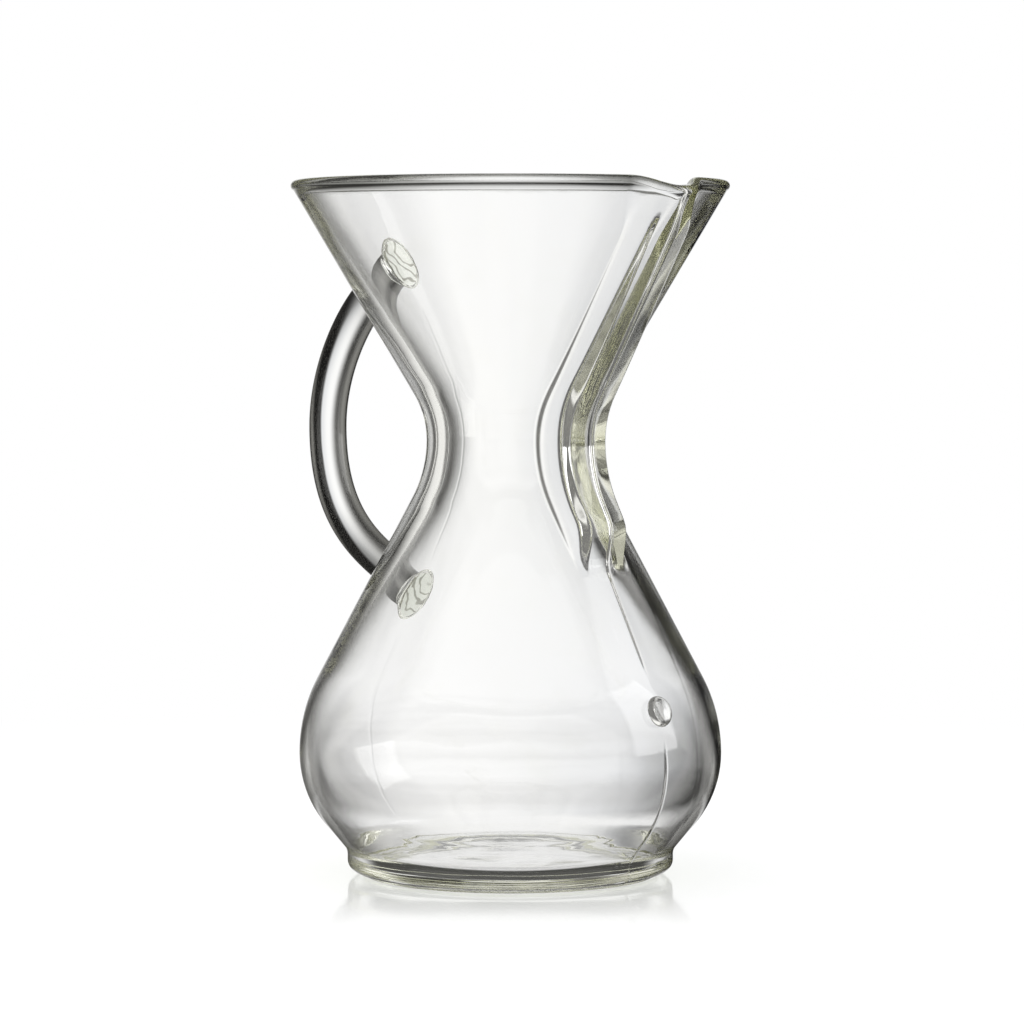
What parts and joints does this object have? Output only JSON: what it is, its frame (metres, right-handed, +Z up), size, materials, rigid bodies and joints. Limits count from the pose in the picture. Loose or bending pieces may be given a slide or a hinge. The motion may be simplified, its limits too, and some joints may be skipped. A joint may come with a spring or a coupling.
{
  "type": "pour-over coffee maker",
  "caption": "Clear glass hourglass carafe with a cone for a paper filter, a pressed pouring channel, a fused rod handle and a level button, for brewing and serving coffee.",
  "frame": {"origin": "on the vessel's axis, at the flat foot that it stands on", "axes": "+Z up along the vessel's axis, +X towards the pouring channel, -X towards the handle"},
  "size_m": [0.1633, 0.136, 0.216],
  "materials": {
    "clear_glass": "clear blown borosilicate glass, polished",
    "rod_glass": "clear drawn glass rod, polished",
    "fused_glass": "clear melted glass with chill wrinkles"
  },
  "bodies": {
    "root": {"vessel": "clear_glass", "handle": "rod_glass", "upper_handle_weld": "fused_glass", "lower_handle_weld": "fused_glass", "level_button": "fused_glass"}
  },
  "joints": []
}
